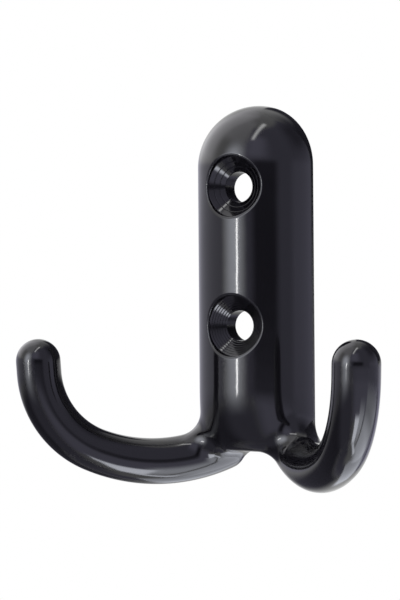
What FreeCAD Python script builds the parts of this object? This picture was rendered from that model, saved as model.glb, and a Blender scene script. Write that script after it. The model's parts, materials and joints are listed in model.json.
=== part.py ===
import FreeCAD, Part
import math
import os
from FreeCAD import Matrix, Vector

# Double robe hook, moulded in one piece of black plastic. Sizes are in millimetres, angles in degrees.
# Z points up and the wall is the plane Y = 0. The hook stands out of the wall towards -Y.
# The origin lies on the wall, midway between the two screw holes.

# Screw holes, one above the other, each with a pocket for a countersunk head
SCREW_SPACING = 22.5
SCREW_HOLE_DIAMETER = 5.0
HEAD_POCKET_DIAMETER = 9.8
HEAD_POCKET_ANGLE = 116.0
HEAD_POCKET_ENTRY = 0.4
HEAD_POCKET_EDGE = 0.2

# Plate, half-round in section, with a domed top and a foot whose front draws back to a flat underside
PLATE_WIDTH = 20.4
PLATE_DEPTH = 9.5
PLATE_ABOVE_SCREWS = 13.75
PLATE_BELOW_SCREWS = 20.45
PLATE_FOOT_RISE = 10.1
PLATE_FOOT_SETBACK = 4.5

# Hollow in the back of the plate, which keeps the moulding even in thickness
HOLLOW_DEPTH = 3.6
HOLLOW_SIDE_WALL = 3.0
HOLLOW_FOOT = 6.5
HOLLOW_CORNER = 3.0

# Arms: each leaves the foot of the plate in its own upright plane, dips, sweeps up and ends in a round tip
ARM_SPREAD = 45.0
ARM_ROOT_INSET = 3.5
ARM_ROOT_STANDOFF = 0.2
ARM_ROOT_RISE = 0.55
ARM_ROOT_DIAMETER = 8.0
ARM_DIAMETER = 7.26
ARM_DIP_ANGLE = 24.0
ARM_SWEEP_RADIUS = 28.0
ARM_SWEEP_END_ANGLE = 22.2
ARM_CURL_RADIUS = 14.85
ARM_CURL_END_ANGLE = 86.0
ARM_TIP_RUN = 2.0
ARM_BLEND = 3.95

UPPER_SCREW_Z = SCREW_SPACING / 2
LOWER_SCREW_Z = -SCREW_SPACING / 2
PLATE_TOP_Z = UPPER_SCREW_Z + PLATE_ABOVE_SCREWS
PLATE_FOOT_Z = LOWER_SCREW_Z - PLATE_BELOW_SCREWS
FOOT_TOP_Z = PLATE_FOOT_Z + PLATE_FOOT_RISE
DOME_Z = PLATE_TOP_Z - PLATE_WIDTH / 2
ARM_ROOT_X = PLATE_WIDTH / 2 - ARM_ROOT_INSET
BEYOND = PLATE_WIDTH + PLATE_DEPTH + PLATE_TOP_Z - PLATE_FOOT_Z + ARM_SWEEP_RADIUS + ARM_CURL_RADIUS
CROSSING_SHARE = 0.95
SKIN_TOLERANCE = 1e-3


def in_front_of_the_wall(shape):
    """What is left of a shape when the wall plane cuts it."""
    room = Part.makeBox(2 * BEYOND, BEYOND, 2 * BEYOND, Vector(-BEYOND, -BEYOND, -BEYOND))
    return shape.common(room).removeSplitter()


def foot():
    """The plate's foot: it keeps its width while its depth shrinks along a quarter of an ellipse."""
    half_width = PLATE_WIDTH / 2
    quarter = [(1, 0, 1), (1, 1, math.sqrt(0.5)), (0, 1, 1)]
    half = quarter + [(-x, y, weight) for x, y, weight in quarter[1::-1]]
    poles = []
    weights = []
    for x, y, weight in half:
        poles.append([Vector(x * half_width, -y * (PLATE_DEPTH - PLATE_FOOT_SETBACK * (1 - out)),
                             FOOT_TOP_Z - PLATE_FOOT_RISE * sunk) for out, sunk, _ in quarter])
        weights.append([weight * other for _, _, other in quarter])
    skin = Part.BSplineSurface()
    skin.buildFromPolesMultsKnots(poles, [3, 2, 3], [3, 3], [0, 1, 2], [0, 1], False, False, 2, 2, weights)
    front = skin.toShape()
    back = [Vector(x * half_width, 0, z) for x, z in
            ((1, PLATE_FOOT_Z), (1, FOOT_TOP_Z), (-1, FOOT_TOP_Z), (-1, PLATE_FOOT_Z), (1, PLATE_FOOT_Z))]
    faces = [front, Part.Face(Part.makePolygon(back))]
    for rim in front.Edges:
        if rim.BoundBox.ZLength < SKIN_TOLERANCE:
            start, end = (vertex.Point for vertex in rim.Vertexes)
            faces.append(Part.Face(Part.Wire([rim, Part.makeLine(end, start)])))
    shell = Part.makeShell(faces)
    shell.sewShape()
    return Part.makeSolid(Part.Shell(shell.Faces))


def plate():
    """A round-topped rod, flattened from front to back and cut off at the wall, on top of the foot."""
    radius = PLATE_WIDTH / 2
    rod = Part.makeCylinder(radius, DOME_Z - FOOT_TOP_Z, Vector(0, 0, FOOT_TOP_Z))
    dome = Part.makeSphere(radius, Vector(0, 0, DOME_Z), Vector(0, 0, 1), 0, 90, 360)
    flatten = Matrix()
    flatten.scale(1, PLATE_DEPTH / radius, 1)
    upper = in_front_of_the_wall(rod.fuse(dome).transformGeometry(flatten))
    return upper.fuse(foot()).removeSplitter()


def left_arm():
    """A round arm along two tangent arcs and a short straight run, tapered over the first arc."""
    spread = math.radians(ARM_SPREAD)
    outward = Vector(-math.sin(spread), -math.cos(spread), 0)
    upward = Vector(0, 0, 1)

    def heading(angle):
        return outward * math.cos(math.radians(angle)) + upward * math.sin(math.radians(angle))

    def bend(start, radius, first, last):
        centre = start - outward * (radius * math.sin(math.radians(first))) \
            + upward * (radius * math.cos(math.radians(first)))
        middle, end = (centre + outward * (radius * math.sin(math.radians(a)))
                       - upward * (radius * math.cos(math.radians(a)))
                       for a in ((first + last) / 2, last))
        return Part.Arc(start, middle, end).toShape(), end

    def ring(point, angle, diameter):
        return Part.Wire(Part.Circle(point, heading(angle), diameter / 2).toShape())

    root = Vector(-ARM_ROOT_X, -ARM_ROOT_STANDOFF, PLATE_FOOT_Z + ARM_ROOT_RISE)
    sweep_line, sweep_end = bend(root, ARM_SWEEP_RADIUS, -ARM_DIP_ANGLE, ARM_SWEEP_END_ANGLE)
    curl_line, curl_end = bend(sweep_end, ARM_CURL_RADIUS, ARM_SWEEP_END_ANGLE, ARM_CURL_END_ANGLE)
    tip = curl_end + heading(ARM_CURL_END_ANGLE) * ARM_TIP_RUN
    root_ring = ring(root, -ARM_DIP_ANGLE, ARM_ROOT_DIAMETER)
    sweep_ring = ring(sweep_end, ARM_SWEEP_END_ANGLE, ARM_DIAMETER)
    sweep = Part.Wire([sweep_line]).makePipeShell([root_ring, sweep_ring], True, True)
    curl = Part.Wire([curl_line, Part.makeLine(curl_end, tip)]).makePipeShell([sweep_ring], True, True)
    tip_end = Part.makeSphere(ARM_DIAMETER / 2, tip, heading(ARM_CURL_END_ANGLE), 0, 90, 360)
    root_end = Part.makeSphere(ARM_ROOT_DIAMETER / 2, root, heading(-ARM_DIP_ANGLE) * -1, 0, 90, 360)
    return sweep.fuse([curl, tip_end, root_end]).removeSplitter()


def blend_radius():
    """The radius of the arms' blends, kept just under the one at which they would cross beneath the foot."""
    root = ARM_ROOT_DIAMETER / 2
    crossing = (ARM_ROOT_X ** 2 - root ** 2 + ARM_ROOT_RISE ** 2) / (2 * (root - ARM_ROOT_RISE))
    return min(ARM_BLEND, CROSSING_SHARE * crossing)


def blend_arms(body, plate_solid, arm_solids):
    """Fills the inner corner all round each arm's root with a smooth fillet."""
    def on_skin(point, solid):
        return point.distToShape(solid.Shells[0])[0] < SKIN_TOLERANCE

    corner = []
    for edge in body.Edges:
        middle = edge.valueAt((edge.FirstParameter + edge.LastParameter) / 2)
        point = Part.Vertex(middle)
        if middle.y < -SKIN_TOLERANCE and on_skin(point, plate_solid) \
                and any(on_skin(point, solid) for solid in arm_solids):
            corner.append(edge)
    return body.makeFillet(blend_radius(), corner)


def hollow():
    """Flat-floored hollow in the back, arched at the top like the plate, with round corners below."""
    half_width = PLATE_WIDTH / 2 - HOLLOW_SIDE_WALL
    floor_z = PLATE_FOOT_Z + HOLLOW_FOOT
    block = Part.makeBox(2 * half_width, 2 * HOLLOW_DEPTH, DOME_Z - floor_z,
                         Vector(-half_width, -HOLLOW_DEPTH, floor_z))
    corners = [edge for edge in block.Edges
               if edge.BoundBox.ZMax < floor_z + SKIN_TOLERANCE and edge.BoundBox.XLength < SKIN_TOLERANCE]
    arch = Part.makeCylinder(half_width, 2 * HOLLOW_DEPTH, Vector(0, -HOLLOW_DEPTH, DOME_Z), Vector(0, 1, 0))
    return block.makeFillet(HOLLOW_CORNER, corners).fuse(arch)


def screw_hole(z):
    """Straight hole, cone for the screw's head, and a straight entry, shallowest on the plate's flanks."""
    hole = SCREW_HOLE_DIAMETER / 2
    pocket = HEAD_POCKET_DIAMETER / 2
    flank_y = -PLATE_DEPTH * math.sqrt(1 - (HEAD_POCKET_DIAMETER / PLATE_WIDTH) ** 2)
    entry_y = flank_y + HEAD_POCKET_ENTRY
    seat_y = entry_y + (pocket - hole) / math.tan(math.radians(HEAD_POCKET_ANGLE / 2))
    outline = [(0, BEYOND), (hole, BEYOND), (hole, seat_y), (pocket, entry_y), (pocket, -BEYOND),
               (0, -BEYOND), (0, BEYOND)]
    loop = Part.makePolygon([Vector(x, y, z) for x, y in outline])
    return Part.Face(loop).revolve(Vector(0, 0, z), Vector(0, 1, 0), 360)


def soften_pockets(body):
    """Breaks the sharp rim where each head pocket opens in the plate's crown."""
    pocket = HEAD_POCKET_DIAMETER / 2
    rims = []
    for edge in body.Edges:
        middle = edge.valueAt((edge.FirstParameter + edge.LastParameter) / 2)
        nearest = min((UPPER_SCREW_Z, LOWER_SCREW_Z), key=lambda z: abs(middle.z - z))
        on_entry = abs(math.hypot(middle.x, middle.z - nearest) - pocket) < SKIN_TOLERANCE
        level = edge.BoundBox.YLength < SKIN_TOLERANCE
        parts_two_faces = len(body.ancestorsOfType(edge, Part.Face)) == 2
        if on_entry and parts_two_faces and not level:
            rims.append(edge)
    return body.makeFillet(HEAD_POCKET_EDGE, rims)


plate_solid = plate()
arm_solids = [left_arm()]
arm_solids.append(arm_solids[0].mirror(Vector(0, 0, 0), Vector(1, 0, 0)))
body = in_front_of_the_wall(plate_solid.fuse(arm_solids))
body = blend_arms(body, plate_solid, arm_solids)
body = body.cut(hollow())
body = body.cut(Part.makeCompound([screw_hole(UPPER_SCREW_Z), screw_hole(LOWER_SCREW_Z)]))
double_hook = soften_pockets(body).Solids[0]

os.makedirs("parts", exist_ok=True)
double_hook.exportStep("parts/double_hook.step")
box = double_hook.optimalBoundingBox(False)
print(f"double_hook {box.XLength:.2f} x {box.YLength:.2f} x {box.ZLength:.2f} mm,"
      f" {double_hook.Volume:.0f} mm3, valid {double_hook.isValid()}")
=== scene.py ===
import json
import math

import bmesh
import bpy
import numpy as np
from mathutils import Matrix, Vector


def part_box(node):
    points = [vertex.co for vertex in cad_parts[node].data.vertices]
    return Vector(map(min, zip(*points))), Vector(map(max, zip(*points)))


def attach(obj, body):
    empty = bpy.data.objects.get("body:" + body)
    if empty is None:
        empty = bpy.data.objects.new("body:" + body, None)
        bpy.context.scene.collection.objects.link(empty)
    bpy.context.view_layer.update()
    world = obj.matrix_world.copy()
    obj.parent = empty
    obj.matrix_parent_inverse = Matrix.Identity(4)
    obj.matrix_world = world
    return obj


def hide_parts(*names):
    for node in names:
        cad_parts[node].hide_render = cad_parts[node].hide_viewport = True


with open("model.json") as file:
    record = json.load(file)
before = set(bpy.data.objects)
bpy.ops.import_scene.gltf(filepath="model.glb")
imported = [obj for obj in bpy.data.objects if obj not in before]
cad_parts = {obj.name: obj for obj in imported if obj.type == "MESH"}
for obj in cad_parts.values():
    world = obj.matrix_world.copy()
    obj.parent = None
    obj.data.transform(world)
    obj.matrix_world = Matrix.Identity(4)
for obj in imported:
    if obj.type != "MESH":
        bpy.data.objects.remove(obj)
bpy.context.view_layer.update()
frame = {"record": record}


# The plate
# The half-round body that two screws hold flat against the wall, with a domed top.
# It is black plastic, moulded in one piece with the arms. Sizes here are in millimetres, Z is up and
# the wall is the plane Y = 0. Each skin is a grid of points, and the grids meet point to point.
MM = 0.001
low, high = (np.array(corner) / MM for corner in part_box("double_hook"))
screw_dims = next(m for m in frame["record"]["mounts"] if m["name"] == "screw_holes")["dims"]
upper_z = screw_dims["spacing_y_mm"] / 2
lower_z = -upper_z

plate_half_width = 10.2
plate_depth = 9.5
plate_top_z = high[2]
plate_foot_z = -31.7
foot_rise = 10.1
foot_setback = 4.5
foot_top_z = plate_foot_z + foot_rise
dome_z = plate_top_z - plate_half_width

# The plain front ends just above the foot, where the arms' blends begin. Round each pocket the grid has
# a square block left out, which the rings of the pocket fill.
blend_top_z = -21.0
pocket_block = 6.35
COLUMNS = 72
SIDE_COLUMNS = 20
FOOT_ROWS = 8
POCKET_ROWS = 30
BETWEEN_ROWS = 23
DOME_ROWS = 31
across = np.pi * np.arange(COLUMNS + 1) / COLUMNS
middle_columns = slice(SIDE_COLUMNS, COLUMNS - SIDE_COLUMNS + 1)
skins = []


def crown_depth(x, z):
    """How far the plate's front stands off the wall, at a place seen from the front."""
    above = np.maximum(z - dome_z, 0)
    inside = 1 - (x ** 2 + above ** 2) / plate_half_width ** 2
    return plate_depth * np.sqrt(np.maximum(inside, 0))


def crown_rows(levels):
    """Points across the plate's front at each level, from the right edge to the left."""
    above = np.maximum(levels - dome_z, 0)
    share = np.sqrt(np.maximum(1 - (above / plate_half_width) ** 2, 0))[:, None]
    x = plate_half_width * share * np.cos(across)
    y = -plate_depth * share * np.sin(across)
    return np.stack([x, y, np.repeat(levels[:, None], COLUMNS + 1, axis=1)], axis=2)


dome_start = math.asin((upper_z + pocket_block - dome_z) / plate_half_width)
crown_levels = {
    "foot": np.linspace(blend_top_z, lower_z - pocket_block, FOOT_ROWS + 1),
    "lower pocket": np.linspace(lower_z - pocket_block, lower_z + pocket_block, POCKET_ROWS + 1),
    "between": np.linspace(lower_z + pocket_block, upper_z - pocket_block, BETWEEN_ROWS + 1),
    "upper pocket": np.linspace(upper_z - pocket_block, upper_z + pocket_block, POCKET_ROWS + 1),
    "dome": dome_z + plate_half_width * np.sin(np.linspace(dome_start, math.pi / 2, DOME_ROWS + 1)),
}
for part, levels in crown_levels.items():
    rows = crown_rows(levels)
    skins.append(rows[:, :SIDE_COLUMNS + 1])
    skins.append(rows[:, COLUMNS - SIDE_COLUMNS:])
    if "pocket" not in part:
        skins.append(rows[:, middle_columns])


# The screw holes
# Each is a straight hole with a turned cone for a countersunk head, and a short straight entry.
# The rim where the entry opens in the round front is softened, and rises and falls with it.
hole_radius = screw_dims["hole_r_mm"]
pocket_radius = 4.9
pocket_edge = 0.2
entry_run = 0.4
cone_half_angle = math.radians(58)
hollow_depth = 3.6
flank_depth = crown_depth(pocket_radius, 0)
entry_depth = flank_depth - entry_run
seat_depth = entry_depth - (pocket_radius - hole_radius) / math.tan(cone_half_angle)

EDGE_SUPPORT = 0.08
SLOPE_STEP = 0.01
FRONT_RINGS = 6
EDGE_RINGS = 5
ENTRY_SHARES = (0.3, 0.65, 1)
CONE_RINGS = 8
HOLE_RINGS = 6


def closed(ring):
    """A ring of points with the first repeated at the end."""
    return np.concatenate([ring, ring[:1]])


def screw_hole(centre_z, levels):
    """Rings of points from the plate's grid round the pocket in to the far end of the hole."""
    rows = crown_rows(levels)[:, middle_columns]
    block = np.concatenate([rows[:-1, 0], rows[-1, :-1], rows[:0:-1, -1], rows[0, :0:-1]])
    reach = np.hypot(block[:, 0], block[:, 2] - centre_z)
    cosine = block[:, 0] / reach
    sine = (block[:, 2] - centre_z) / reach

    def depth_at(radius):
        return crown_depth(radius * cosine, centre_z + radius * sine)

    def ring(radius, depth):
        y = np.broadcast_to(-depth, reach.shape)
        return closed(np.stack([radius * cosine, y, centre_z + radius * sine], axis=1))

    # The softened rim is an arc that touches the front and the entry's wall in each radial plane.
    arc_radius = pocket_radius + pocket_edge
    slope = (depth_at(arc_radius + SLOPE_STEP) - depth_at(arc_radius - SLOPE_STEP)) / (2 * SLOPE_STEP)
    lean = np.arctan(slope)
    arc_depth = depth_at(arc_radius) - pocket_edge / np.cos(lean)
    touch = arc_radius - pocket_edge * np.sin(lean)

    rings = []
    for share in np.linspace(0, 1, FRONT_RINGS + 1):
        radius = reach + (touch + EDGE_SUPPORT - reach) * share
        rings.append(ring(radius, depth_at(radius)))
    rings.append(ring(touch, depth_at(touch)))
    for share in np.linspace(0, 1, EDGE_RINGS + 1)[1:]:
        turn = (np.pi / 2 + lean) * (1 - share) + np.pi * share
        rings.append(ring(arc_radius + pocket_edge * np.cos(turn), arc_depth + pocket_edge * np.sin(turn)))
    for share in ENTRY_SHARES:
        rings.append(ring(pocket_radius, arc_depth + (entry_depth - arc_depth) * share))
    for share in np.linspace(0, 1, CONE_RINGS + 1)[1:]:
        rings.append(ring(pocket_radius + (hole_radius - pocket_radius) * share,
                          entry_depth + (seat_depth - entry_depth) * share))
    for depth in np.linspace(seat_depth, hollow_depth, HOLE_RINGS + 1)[1:]:
        rings.append(ring(hole_radius, depth))
    return np.stack(rings)


skins.append(screw_hole(upper_z, crown_levels["upper pocket"]))
skins.append(screw_hole(lower_z, crown_levels["lower pocket"]))


# The hollow back
# The back of the plate is cored out to keep the moulding even in thickness.
# It has upright walls, an arched top and two round corners below. The screw holes open in its floor.
hollow_side_wall = 3.0
hollow_foot_wall = 6.5
hollow_corner = 3.0
hollow_half_width = plate_half_width - hollow_side_wall
hollow_foot_z = plate_foot_z + hollow_foot_wall
corner_x = hollow_half_width - hollow_corner
corner_z = hollow_foot_z + hollow_corner
HOLLOW_RINGS = 6


def arc(centre, radius, first, last, count):
    """Points along an arc in the plane of the wall, without its last point."""
    turn = np.radians(np.linspace(first, last, count, endpoint=False))
    return np.stack([centre[0] + radius * np.cos(turn), centre[1] + radius * np.sin(turn)], axis=1)


def run(start, end, count):
    """Points along a straight line in the plane of the wall, without its last point."""
    return np.linspace(start, end, count, endpoint=False)


hollow_outline = closed(np.concatenate([
    run((-corner_x, hollow_foot_z), (corner_x, hollow_foot_z), count=16),
    arc((corner_x, corner_z), hollow_corner, -90, 0, count=10),
    run((hollow_half_width, corner_z), (hollow_half_width, dome_z), count=70),
    arc((0, dome_z), hollow_half_width, 0, 180, count=48),
    run((-hollow_half_width, dome_z), (-hollow_half_width, corner_z), count=70),
    arc((-corner_x, corner_z), hollow_corner, 180, 270, count=10),
]))
hollow_levels = np.linspace(hollow_depth, 0, HOLLOW_RINGS + 1)
skins.append(np.stack([np.insert(hollow_outline, 1, -depth, axis=1) for depth in hollow_levels]))


# The arms
# Two round arms leave the foot of the plate at 45 degrees, dip, sweep up and end in round tips.
# A fillet runs all round each root, as a ball rolled along the corner would leave it. The right arm's
# points are worked out here and the left arm mirrors them.
arm_root_radius = 4.0
arm_radius = 3.63
arm_spread = math.radians(45)
arm_root_inset = 3.5
arm_root_forward = 0.2
arm_root_rise = 0.55
arm_dip = math.radians(-24)
sweep_radius = 28.0
sweep_end = math.radians(22.2)
curl_radius = 14.85
curl_end = math.radians(86)
tip_run = 2.0
blend_radius = 3.95
blend_end = math.radians(-1)

arm_root = np.array([plate_half_width - arm_root_inset, -arm_root_forward, plate_foot_z + arm_root_rise])
outward = np.array([math.sin(arm_spread), -math.cos(arm_spread), 0])
sideways = np.array([math.cos(arm_spread), math.sin(arm_spread), 0])
upward = np.array([0.0, 0.0, 1.0])

NEAREST_ROUNDS = 12
LARGEST_TURN = 0.4
BALL_ROUNDS = 8


def unit(vectors):
    """The same directions, each one long."""
    return vectors / np.linalg.norm(vectors, axis=1)[:, None]


def sweep_radius_at(angle):
    """The arm's own radius where its first bend has come to a heading."""
    taper = (angle - arm_dip) / (sweep_end - arm_dip)
    return arm_root_radius + (arm_radius - arm_root_radius) * taper


def arm_gap(points):
    """How far points stand off the skin of the arm's first bend, and the way out of it."""
    local = points - arm_root
    u, h = local @ outward, local[:, 2]
    centre_u = -sweep_radius * math.sin(arm_dip)
    centre_h = sweep_radius * math.cos(arm_dip)
    angle = np.maximum(np.arctan2(u - centre_u, centre_h - h), arm_dip)
    spine = arm_root + np.outer(centre_u + sweep_radius * np.sin(angle), outward) \
        + np.outer(centre_h - sweep_radius * np.cos(angle), upward)
    return np.linalg.norm(points - spine, axis=1) - sweep_radius_at(angle), unit(points - spine)


def plate_gap(points):
    """How far points stand off the plate's front, its foot and its underside, and the way out of it."""
    x, y, z = points.T
    on_foot = z < foot_top_z

    def front_at(turn, sink):
        """The sines, the depth of the section and what lies between it and the points."""
        cos, sin, fall, drop = np.cos(turn), np.sin(turn), np.cos(sink), np.sin(sink)
        depth = plate_depth - foot_setback * (1 - fall)
        level = np.where(on_foot, foot_top_z - foot_rise * drop, z)
        off = points - np.stack([plate_half_width * cos, -depth * sin, level], axis=1)
        return cos, sin, fall, drop, depth, off

    # Newton's steps to the nearest place on the front, which has two angles: turn goes round the
    # plate's section and sink goes down the foot. A place that has come to an end of the foot stays there.
    turn = np.arctan2(-y / plate_depth, x / plate_half_width)
    sink = np.where(on_foot, np.arcsin(np.clip((foot_top_z - z) / foot_rise, 0, 0.9)), 0)
    for _ in range(NEAREST_ROUNDS):
        cos, sin, fall, drop, depth, off = front_at(turn, sink)
        pull_turn = -off[:, 0] * plate_half_width * sin - off[:, 1] * depth * cos
        pull_sink = off[:, 1] * foot_setback * drop * sin - off[:, 2] * foot_rise * fall
        bend_turn = (plate_half_width * sin) ** 2 + (depth * cos) ** 2 \
            + off[:, 0] * plate_half_width * cos - off[:, 1] * depth * sin
        bend_both = -depth * cos * foot_setback * drop * sin - off[:, 1] * foot_setback * drop * cos
        bend_sink = (foot_setback * drop * sin) ** 2 + (foot_rise * fall) ** 2 \
            - off[:, 1] * foot_setback * fall * sin - off[:, 2] * foot_rise * drop
        free = on_foot & ~((sink >= np.pi / 2) & (pull_sink > 0)) & ~((sink <= 0) & (pull_sink < 0))
        bend_both = np.where(free, bend_both, 0)
        pull_sink = np.where(free, pull_sink, 0)
        whole = np.maximum(bend_turn * bend_sink - bend_both ** 2, 1e-6)
        step_turn = (pull_turn * bend_sink - pull_sink * bend_both) / whole
        step_sink = (pull_sink * bend_turn - pull_turn * bend_both) / whole
        turn = turn + np.clip(step_turn, -LARGEST_TURN, LARGEST_TURN)
        eased_sink = np.clip(sink + np.clip(step_sink, -LARGEST_TURN, LARGEST_TURN), 0, np.pi / 2)
        sink = np.where(free, eased_sink, sink)
    cos, sin, fall, drop, depth, off = front_at(turn, sink)
    way = unit(np.stack([foot_rise * depth * cos * fall, -foot_rise * plate_half_width * sin * fall,
                         -foot_setback * plate_half_width * sin ** 2 * drop], axis=1))
    gap = (off * way).sum(axis=1)
    over_underside = np.hypot(x / plate_half_width, y / (plate_depth - foot_setback)) < 1
    below = plate_foot_z - z
    flat = over_underside & ((below > 0) | (below > gap))
    return np.where(flat, below, gap), np.where(flat[:, None], -upward, way)


def blended_gap(points):
    """How far points stand off the blended skin, and the way out of it."""
    on_arm, way_arm = arm_gap(points)
    on_plate, way_plate = plate_gap(points)
    # The centre of the ball that touches both skins, in the plane of the two ways out of them.
    centre = points.copy()
    for _ in range(BALL_ROUNDS):
        (gap_arm, slope_arm), (gap_plate, slope_plate) = arm_gap(centre), plate_gap(centre)
        slopes = np.stack([slope_arm, slope_plate], axis=1)
        wanted = blend_radius - np.stack([gap_arm, gap_plate], axis=1)
        wanted += np.einsum("nij,nj->ni", slopes, centre - points)
        pull = np.linalg.solve(slopes @ slopes.transpose(0, 2, 1) + 1e-9 * np.eye(2), wanted[..., None])
        centre = points + (slopes.transpose(0, 2, 1) @ pull)[..., 0]
    to_ball = centre - points
    reach = np.linalg.norm(to_ball, axis=1)
    in_corner = (pull[:, :, 0] > 0).all(axis=1)
    plain_way = np.where((on_arm < on_plate)[:, None], way_arm, way_plate)
    gap = np.where(in_corner, blend_radius - reach, np.minimum(on_arm, on_plate))
    way = np.where(in_corner[:, None], to_ball / reach[:, None], plain_way)
    return gap, way


def settle(points, free=(1, 1, 1), rounds=3):
    """Moves points onto the blended skin, only along the axes that are free."""
    for _ in range(rounds):
        gap, way = blended_gap(points)
        way = way * np.array(free)
        points = points - (gap / (way ** 2).sum(axis=1))[:, None] * way
    return points


def evenly(points, count):
    """The same line with a number of points spaced evenly."""
    along = np.concatenate([[0], np.cumsum(np.linalg.norm(np.diff(points, axis=0), axis=1))])
    wanted = np.linspace(0, along[-1], count)
    return np.stack([np.interp(wanted, along, points[:, axis]) for axis in range(3)], axis=1)


# The edge of the blended corner: across the plate, down round the root at the wall, and up the middle.
# At the wall it starts as a circle about the root, and settles onto the skin.
WALL_POINTS = 56
MIDDLE_POINTS = 24
MIDDLE_STEPS = 200
EDGE_ROUNDS = 20
circle_centre = np.array([5.2, 0, -29.5])
circle_radius = 6.0
in_wall = (1, 0, 1)
section = crown_rows(np.array([blend_top_z]))[0][COLUMNS // 2::-1]
wall_start, middle_end = section[-1], section[0]
wall_end = np.array([0, 0, plate_foot_z])
first_turn = math.atan2(wall_start[2] - circle_centre[2], wall_start[0] - circle_centre[0])
last_turn = math.atan2(wall_end[2] - circle_centre[2], wall_end[0] - circle_centre[0])
turn = np.linspace(first_turn, last_turn, WALL_POINTS + 1)
wall_edge = circle_centre + circle_radius * np.stack([np.cos(turn), 0 * turn, np.sin(turn)], axis=1)
wall_edge[0], wall_edge[-1] = wall_start, wall_end
for _ in range(EDGE_ROUNDS):
    wall_edge[1:-1] = settle(wall_edge[1:-1], in_wall)
    wall_edge = evenly(wall_edge, WALL_POINTS + 1)
wall_edge[1:-1] = settle(wall_edge[1:-1], in_wall, rounds=6)

sink = np.linspace(np.pi / 2, 0, MIDDLE_STEPS)
foot_line = np.stack([0 * sink, foot_setback * (1 - np.cos(sink)) - plate_depth,
                      foot_top_z - foot_rise * np.sin(sink)], axis=1)
middle_edge = evenly(np.concatenate([[wall_end], foot_line, [middle_end]]), MIDDLE_POINTS + 1)
corner_edge = np.concatenate([section[:-1], wall_edge[:-1], middle_edge[:-1]])

# Rings along the arm, which start where the corner's fillet has run out.
RING_START = math.radians(140)
SWEEP_RINGS = 26
CURL_RINGS = 39
RUN_RINGS = 4
TIP_RINGS = 15
ring_turn = RING_START - 2 * np.pi * np.arange(len(corner_edge)) / len(corner_edge)


def bend_point(start, radius, first, angle):
    """A point at a heading's angle on a bend in the arm's own upright plane."""
    centre = start - outward * radius * math.sin(first) + upward * radius * math.cos(first)
    return centre + outward * radius * math.sin(angle) - upward * radius * math.cos(angle)


def arm_ring(point, angle, radius):
    """A ring of points round the arm, square to its heading."""
    crosswise = upward * math.cos(angle) - outward * math.sin(angle)
    return point + radius * (np.cos(ring_turn)[:, None] * sideways + np.sin(ring_turn)[:, None] * crosswise)


arm_rings = []
for angle in np.linspace(blend_end, sweep_end, SWEEP_RINGS):
    point = bend_point(arm_root, sweep_radius, arm_dip, angle)
    arm_rings.append(arm_ring(point, angle, sweep_radius_at(angle)))
curl_start = bend_point(arm_root, sweep_radius, arm_dip, sweep_end)
for angle in np.linspace(sweep_end, curl_end, CURL_RINGS + 1)[1:]:
    arm_rings.append(arm_ring(bend_point(curl_start, curl_radius, sweep_end, angle), angle, arm_radius))
curl_stop = bend_point(curl_start, curl_radius, sweep_end, curl_end)
tip_heading = outward * math.cos(curl_end) + upward * math.sin(curl_end)
for share in np.linspace(0, 1, RUN_RINGS + 1)[1:]:
    arm_rings.append(arm_ring(curl_stop + tip_heading * tip_run * share, curl_end, arm_radius))
tip_centre = curl_stop + tip_heading * tip_run
for cap in np.linspace(0, math.pi / 2, TIP_RINGS + 1)[1:]:
    arm_rings.append(arm_ring(tip_centre + tip_heading * arm_radius * math.sin(cap), curl_end,
                              arm_radius * math.cos(cap)))

# The fillet's own grid, between the first ring and the corner's edge, relaxed as it lies on the skin.
CORNER_ROWS = 34
RELAX_ROUNDS = 80
share = np.linspace(0, 1, CORNER_ROWS + 1)[:, None, None]
corner = arm_rings[0] * (1 - share) + corner_edge * share
for _ in range(RELAX_ROUNDS):
    around = np.roll(corner, 1, axis=1) + np.roll(corner, -1, axis=1)
    eased = (around[1:-1] + corner[:-2] + corner[2:]) / 4
    corner[1:-1] = settle(eased.reshape(-1, 3), rounds=1).reshape(eased.shape)
inner = corner[1:-1]
corner[1:-1] = settle(inner.reshape(-1, 3), rounds=4).reshape(inner.shape)

arm_skin = np.concatenate([corner[:0:-1], np.stack(arm_rings)])
arm_skin = np.concatenate([arm_skin, arm_skin[:, :1]], axis=1)
skins += [arm_skin, arm_skin * np.array([-1, 1, 1])]


# The moulding
# Plate, holes, hollow and arms are one piece of plastic, so their skins are joined into one closed mesh.
# The flat floor of the hollow and the flat back that lies on the wall are filled in between their edges.
JOIN_DISTANCE = 0.002
CRISP_ANGLE = math.radians(32)
shell = bmesh.new()
for skin in skins:
    grid = [[shell.verts.new(point) for point in row] for row in skin]
    for row, next_row in zip(grid, grid[1:]):
        for a, b, c, d in zip(row, row[1:], next_row[1:], next_row):
            shell.faces.new((a, b, c, d))
bmesh.ops.remove_doubles(shell, verts=shell.verts, dist=JOIN_DISTANCE)
for depth in (hollow_depth, 0):
    flat_edges = [edge for edge in shell.edges
                  if edge.is_boundary and all(abs(v.co.y + depth) < JOIN_DISTANCE for v in edge.verts)]
    bmesh.ops.triangle_fill(shell, use_beauty=True, edges=flat_edges, normal=(0, 1, 0))
bmesh.ops.recalc_face_normals(shell, faces=shell.faces)
for face in shell.faces:
    face.smooth = True
for edge in shell.edges:
    edge.smooth = edge.calc_face_angle(0) < CRISP_ANGLE
bmesh.ops.scale(shell, vec=(MM, MM, MM), verts=shell.verts)
hook_mesh = bpy.data.meshes.new("robe_hook")
shell.to_mesh(hook_mesh)
shell.free()
hook = bpy.data.objects.new("robe_hook", hook_mesh)
bpy.context.scene.collection.objects.link(hook)
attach(hook, "root")
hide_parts("double_hook")


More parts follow.
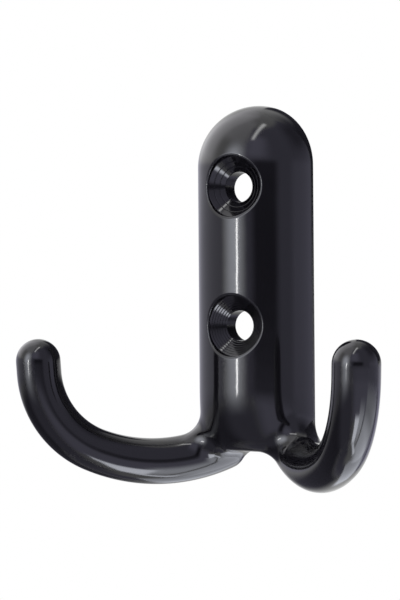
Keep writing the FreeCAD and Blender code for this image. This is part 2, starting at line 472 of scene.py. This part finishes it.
# Black plastic
# The whole hook is one glossy black moulding, with the faintest ripple left by the mould's polish.
# The cones for the screw heads keep the rings of the turned pins that formed them, each ring steeper
# than the cone: broad rings in the upper pocket and fine ones in the lower.
ring_tilt = 0.2
upper_ring = 0.8 * MM
lower_ring = 0.36 * MM
groove_half_width = 0.07 * MM
groove_slope = 0.4
rim_width = 0.3 * MM
rim_slope = 0.6
relief_stop = 1.2 * hollow_depth * MM
ripple_size = 4.0 * MM
ripple_height = 0.02 * MM
finest_polish = 0.07
coarsest_polish = 0.13
plastic = bpy.data.materials.new("black_plastic")
plastic.use_nodes = True
tree = plastic.node_tree
gloss = tree.nodes["Principled BSDF"]
gloss.inputs["Base Color"].default_value = (0.0042, 0.0039, 0.0055, 1)
gloss.inputs["IOR"].default_value = 1.5


def calculate(tree, operation, *values):
    """A sum on numbers or on other nodes' results, as a node of a tree."""
    node = tree.nodes.new("ShaderNodeMath")
    node.operation = operation
    for socket, value in zip(node.inputs, values):
        if isinstance(value, bpy.types.NodeSocket):
            tree.links.new(value, socket)
        else:
            socket.default_value = value
    return node.outputs[0]


def between(tree, value, least, most):
    """A value held between two limits."""
    return calculate(tree, "MINIMUM", calculate(tree, "MAXIMUM", value, least), most)


# How far each point lies from the axis of the nearer hole, in its pocket's plane.
place = tree.nodes.new("ShaderNodeTexCoord")
axes = tree.nodes.new("ShaderNodeSeparateXYZ")
tree.links.new(place.outputs["Object"], axes.inputs[0])
x, y, z = axes.outputs
off_axis = calculate(tree, "SUBTRACT", calculate(tree, "ABSOLUTE", z), upper_z * MM)
squared = calculate(tree, "MULTIPLY_ADD", x, x, calculate(tree, "MULTIPLY", off_axis, off_axis))
reach = calculate(tree, "SQRT", squared)

# The rim is rounded inward, and the cone inside it has its turned rings. The hollow back has neither.
rim_outer = (pocket_radius + pocket_edge) * MM + rim_width
into_rim = between(tree, calculate(tree, "SUBTRACT", rim_outer, reach), 0.0, rim_width)
into_rim_squared = calculate(tree, "MULTIPLY", into_rim, into_rim)
rim = calculate(tree, "MULTIPLY", into_rim_squared, -rim_slope / (2 * rim_width))
cone_reach = between(tree, reach, hole_radius * MM, pocket_radius * MM)
in_upper = calculate(tree, "GREATER_THAN", z, 0.0)
ring_width = calculate(tree, "MULTIPLY_ADD", in_upper, upper_ring - lower_ring, lower_ring)
half_ring = calculate(tree, "MULTIPLY", ring_width, 0.5)
from_edge = calculate(tree, "SUBTRACT", pocket_radius * MM, cone_reach)
to_groove = calculate(tree, "PINGPONG", from_edge, half_ring)
groove = calculate(tree, "MINIMUM", calculate(tree, "SUBTRACT", to_groove, groove_half_width), 0.0)
grooves = calculate(tree, "MULTIPLY", groove, groove_slope)
rings = calculate(tree, "MULTIPLY_ADD", cone_reach, ring_tilt, grooves)
in_front = calculate(tree, "LESS_THAN", y, -relief_stop)
turned = calculate(tree, "MULTIPLY", calculate(tree, "ADD", rings, rim), in_front)

# The ripple runs all over the skin, and the polish changes with it.
ripple = tree.nodes.new("ShaderNodeTexNoise")
ripple.inputs["Scale"].default_value = 1 / ripple_size
ripple.inputs["Detail"].default_value = 1
tree.links.new(place.outputs["Object"], ripple.inputs["Vector"])
relief = tree.nodes.new("ShaderNodeBump")
relief.inputs["Distance"].default_value = 1
height = calculate(tree, "MULTIPLY_ADD", ripple.outputs["Fac"], ripple_height, turned)
tree.links.new(height, relief.inputs["Height"])
tree.links.new(relief.outputs["Normal"], gloss.inputs["Normal"])
polish = tree.nodes.new("ShaderNodeMapRange")
polish.inputs["To Min"].default_value = finest_polish
polish.inputs["To Max"].default_value = coarsest_polish
tree.links.new(ripple.outputs["Fac"], polish.inputs["Value"])
tree.links.new(polish.outputs["Result"], gloss.inputs["Roughness"])
hook.data.materials.append(plastic)

# The walls of the straight holes take a copy of the plastic with far less sheen: painted shade, which keeps
# the holes dark inside.
hole_shade_sheen = 0.08
hole_wall_limit = (hole_radius + JOIN_DISTANCE) * MM
hole_shade_plastic = plastic.copy()
hole_shade_plastic.name = "shaded_hole_black_plastic"
hole_shade_plastic.node_tree.nodes["Principled BSDF"].inputs["Specular IOR Level"].default_value = hole_shade_sheen
hook.data.materials.append(hole_shade_plastic)
# Faces that lie on a hole's wall take the copy with the painted shade.
for face in hook.data.polygons:
    corners = [hook.data.vertices[index].co for index in face.vertices]
    if all(math.hypot(corner.x, abs(corner.z) - upper_z * MM) < hole_wall_limit for corner in corners):
        face.material_index = 1


# The camera
# It stands level with the hook, a little to the right, as the photograph was taken.
# Its place was fitted to the hook's outline and holes, with angles in radians.
PHOTO_SIZE = (400, 600)
camera_azimuth = 0.5512559
camera_elevation = -0.0082394
camera_roll = -0.0075166
camera_distance = 293.3884 * MM
camera_aim = Vector((-11.5481, 0, -6.9245)) * MM
focal_pixels = 1738.4856

back = Vector((math.sin(camera_azimuth) * math.cos(camera_elevation),
               -math.cos(camera_azimuth) * math.cos(camera_elevation), math.sin(camera_elevation)))
level = Vector((math.cos(camera_azimuth), math.sin(camera_azimuth), 0))
steep = back.cross(level)
camera_right = level * math.cos(camera_roll) + steep * math.sin(camera_roll)
camera_up = steep * math.cos(camera_roll) - level * math.sin(camera_roll)
camera_data = bpy.data.cameras.new("camera")
camera_data.sensor_width = 36
camera_data.lens = focal_pixels * camera_data.sensor_width / max(PHOTO_SIZE)
camera_data.clip_start = 0.01
camera = bpy.data.objects.new("camera", camera_data)
camera.matrix_world = Matrix.Translation(camera_aim + back * camera_distance) @ Matrix(
    (camera_right, camera_up, back)).transposed().to_4x4()
bpy.context.scene.collection.objects.link(camera)
bpy.context.scene.camera = camera


# The floor
# A pale sheet of paper, about a metre below the hook, with its sizes in metres. Near the middle it
# takes the hook's faint shadow. Further out it runs into the white of the ground behind.
floor_drop = 1.1
floor_half = 6.0
shadow_reach = 1.2
paper_colour = (0.9, 0.9, 0.9, 1)
floor_z = low[2] * MM - floor_drop


def add_sheet(name, grid):
    """A sheet through a grid of points, with its own coordinates from 0 to 1 across and up."""
    rows, columns = grid.shape[:2]
    corners = [(r * columns + c, r * columns + c + 1, (r + 1) * columns + c + 1, (r + 1) * columns + c)
               for r in range(rows - 1) for c in range(columns - 1)]
    mesh = bpy.data.meshes.new(name)
    mesh.from_pydata(grid.reshape(-1, 3).tolist(), [], corners)
    place = mesh.uv_layers.new(name="place")
    for loop in mesh.loops:
        row, column = divmod(loop.vertex_index, columns)
        place.data[loop.index].uv = (column / (columns - 1), row / (rows - 1))
    sheet = bpy.data.objects.new(name, mesh)
    bpy.context.scene.collection.objects.link(sheet)
    return sheet


def seen(tree):
    """1 for what the camera sees, straight, in a gloss or through glass, and 0 for what only lights."""
    rays = tree.nodes.new("ShaderNodeLightPath").outputs
    camera_or_gloss = calculate(tree, "MAXIMUM", rays["Is Camera Ray"], rays["Is Glossy Ray"])
    return calculate(tree, "MAXIMUM", camera_or_gloss, rays["Is Transmission Ray"])


floor = add_sheet("floor", np.array([[(x, y, floor_z) for x in (-floor_half, floor_half)]
                                     for y in (-floor_half, floor_half)]))
paper = bpy.data.materials.new("white_paper")
paper.use_nodes = True
tree = paper.node_tree
tree.nodes.clear()
place = tree.nodes.new("ShaderNodeTexCoord")
spread = tree.nodes.new("ShaderNodeVectorMath")
spread.operation = "DISTANCE"
spread.inputs[1].default_value = (0, 0, floor_z)
tree.links.new(place.outputs["Object"], spread.inputs[0])
fade = tree.nodes.new("ShaderNodeMapRange")
fade.interpolation_type = "SMOOTHSTEP"
fade.inputs["From Min"].default_value = shadow_reach / 3
fade.inputs["From Max"].default_value = shadow_reach
tree.links.new(spread.outputs["Value"], fade.inputs["Value"])
matte = tree.nodes.new("ShaderNodeBsdfDiffuse")
matte.inputs["Color"].default_value = paper_colour
white = tree.nodes.new("ShaderNodeEmission")
mixed = tree.nodes.new("ShaderNodeMixShader")
tree.links.new(calculate(tree, "MULTIPLY", fade.outputs["Result"], seen(tree)), mixed.inputs[0])
tree.links.new(matte.outputs[0], mixed.inputs[1])
tree.links.new(white.outputs[0], mixed.inputs[2])
paper_out = tree.nodes.new("ShaderNodeOutputMaterial")
tree.links.new(mixed.outputs[0], paper_out.inputs["Surface"])
floor.data.materials.append(paper)


# The ground behind
# Plain white on all sides, as a lit white room would be.
# It gives the even light that dull surfaces take, and shows as pure white.
room_light = 1.05
white_level = 1
room = bpy.data.worlds.new("studio")
room.use_nodes = True
tree = room.node_tree
ground = tree.nodes["Background"]
ground.inputs["Color"].default_value = (1, 1, 1, 1)
strength = tree.nodes.new("ShaderNodeMapRange")
strength.inputs["To Min"].default_value = room_light
strength.inputs["To Max"].default_value = white_level
tree.links.new(seen(tree), strength.inputs["Value"])
tree.links.new(strength.outputs["Result"], ground.inputs["Strength"])
bpy.context.scene.world = room


# The studio
# Soft lamps and dark cards stand round the hook, up to a metre away, and the hook reflects them.
# Each is a curved sheet with soft edges. Its place is given in degrees, round from the front to the
# right and up from level. A sheet further down this section stands in front of those before it.
STAND_OFF = 1.0
CARD_GAP = 0.01
SHEET_STEPS = 16
hook_middle = np.array([0, -8, -8]) * MM
stand_offs = iter(np.arange(STAND_OFF, 0, -CARD_GAP))

soft_edges = bpy.data.node_groups.new("soft_edges", "ShaderNodeTree")
for socket in ("Across", "Up"):
    soft_edges.interface.new_socket(socket, in_out="INPUT", socket_type="NodeSocketFloat")
soft_edges.interface.new_socket("Mask", in_out="OUTPUT", socket_type="NodeSocketFloat")
widths = soft_edges.nodes.new("NodeGroupInput")
place = soft_edges.nodes.new("ShaderNodeUVMap")
place.uv_map = "place"
ways = soft_edges.nodes.new("ShaderNodeSeparateXYZ")
soft_edges.links.new(place.outputs["UV"], ways.inputs[0])
fades = []
for axis, width in (("X", "Across"), ("Y", "Up")):
    fade = soft_edges.nodes.new("ShaderNodeMapRange")
    fade.interpolation_type = "SMOOTHSTEP"
    soft_edges.links.new(calculate(soft_edges, "PINGPONG", ways.outputs[axis], 0.5), fade.inputs["Value"])
    soft_edges.links.new(widths.outputs[width], fade.inputs["From Max"])
    fades.append(fade.outputs["Result"])
mask_out = soft_edges.nodes.new("NodeGroupOutput")
soft_edges.links.new(calculate(soft_edges, "MULTIPLY", *fades), mask_out.inputs["Mask"])


def toward(azimuth, elevation):
    """The direction from the hook at angles in degrees."""
    a, e = np.radians(azimuth), np.radians(elevation)
    return np.stack([np.sin(a) * np.cos(e), -np.cos(a) * np.cos(e), np.sin(e)], axis=-1)


def panel(azimuths, elevations):
    """Directions over a panel between two angles round and two angles up."""
    across = np.linspace(*azimuths, SHEET_STEPS + 1)
    up = np.linspace(*elevations, SHEET_STEPS + 1)
    return toward(*np.meshgrid(across, up))


def tube(start, end, half_width):
    """Directions over a narrow straight strip from one place to another."""
    first, last = toward(*start), toward(*end)
    aside = np.cross(first, last)
    aside = aside / np.linalg.norm(aside)
    share = np.linspace(0, 1, SHEET_STEPS + 1)[:, None, None]
    middle = first * (1 - share) + last * share
    middle = middle / np.linalg.norm(middle, axis=-1)[..., None]
    return middle + aside * np.tan(np.radians([[-half_width], [0], [half_width]]))


def add_card(name, directions, brightness, soft, tint=(1, 1, 1)):
    """A glowing or dark sheet that the hook reflects and the camera doesn't see.

    Its edges fade over two shares of it, across and up.
    """
    card = add_sheet(name, hook_middle + directions * next(stand_offs))
    card.visible_camera = False
    card.visible_diffuse = False
    card.visible_shadow = False
    material = bpy.data.materials.new(name)
    material.use_nodes = True
    tree = material.node_tree
    glow = tree.nodes["Principled BSDF"]
    glow.inputs["Base Color"].default_value = (0, 0, 0, 1)
    glow.inputs["Specular IOR Level"].default_value = 0
    glow.inputs["Emission Color"].default_value = (*tint, 1)
    glow.inputs["Emission Strength"].default_value = brightness
    edges = tree.nodes.new("ShaderNodeGroup")
    edges.node_tree = soft_edges
    edges.inputs["Across"].default_value = soft[0]
    edges.inputs["Up"].default_value = soft[1]
    tree.links.new(edges.outputs["Mask"], glow.inputs["Alpha"])
    card.data.materials.append(material)


cool = (0.92, 0.9, 1.18)
pale_blue = (0.95, 0.98, 1.08)
violet_grey = (0.95, 0.94, 1.1)
near_white = (1, 0.99, 1.03)
add_card("right_ground", panel((8, 186), (-52, 2)), 0.9, (0.06, 0.2), cool)
add_card("right_wall", panel((-10, 150), (-14, 76)), 0.5, (0.08, 0.1), cool)
add_card("right_strip", panel((80, 150), (-16, 17)), 0.75, (0.25, 0.5), cool)
add_card("front_right_wall", panel((-20, 54), (8, 60)), 1.05, (0.45, 0.3), cool)
add_card("right_far_wall", panel((76, 200), (12, 78)), 0.15, (0.4, 0.4), cool)
add_card("room_behind", panel((141.5, 206), (-4, 52)), 0.06, (0.02, 0.2), cool)
add_card("left_wall", panel((-150, -40), (-14, 12)), 0.72, (0.1, 0.2), violet_grey)
add_card("top_wall", panel((-160, 10), (36, 88)), 1.5, (0.15, 0.25), near_white)
add_card("left_window", panel((-138, -58), (2, 84)), 1.95, (0.28, 0.2), near_white)
add_card("low_left_card", panel((-158, 14), (-74, -1)), 0.1, (0.16, 0.3), cool)
add_card("low_room", panel((-158, 14), (-90, -56)), 0.36, (0.1, 0.4), cool)
add_card("low_front_card", panel((-62, 34), (-78, 0)), 0.36, (0.35, 0.3), cool)
add_card("low_back_lamp", panel((146, 214), (-86, -38)), 2.6, (0.12, 0.15), pale_blue)
add_card("low_right_glow", panel((81, 148), (-60, -8)), 1.9, (0.06, 0.35), pale_blue)
add_card("low_right_lamp", panel((83, 158), (-84, -30)), 4.1, (0.06, 0.35), pale_blue)
add_card("low_glow", panel((52, 80), (-80, -22)), 3.9, (0.12, 0.45), pale_blue)
add_card("low_lamp", panel((31, 58), (-74, -39)), 8.6, (0.12, 0.25), pale_blue)
add_card("gap_behind", tube((143, -10), (183, -39), 3.2), 0.06, (0.4, 0.1), cool)
add_card("low_tube_lamp", tube((46, -69), (118, -74), 4), 7.0, (0.4, 0.15), pale_blue)
add_card("key_lamp", panel((-50, 4), (-26, 50)), 5.3, (0.5, 0.45), pale_blue)
add_card("key_strip", tube((-20.2, -9), (-15.4, 9), 1.3), 38.0, (0.3, 0.3))
add_card("camera_card", panel((3, 66), (-9, 15)), 0.06, (0.27, 0.4), cool)
add_card("tube_lamp", tube((8, 46), (75, 81), 4.5), 7.0, (0.5, 0.1))

bpy.context.scene.view_settings.view_transform = "Standard"
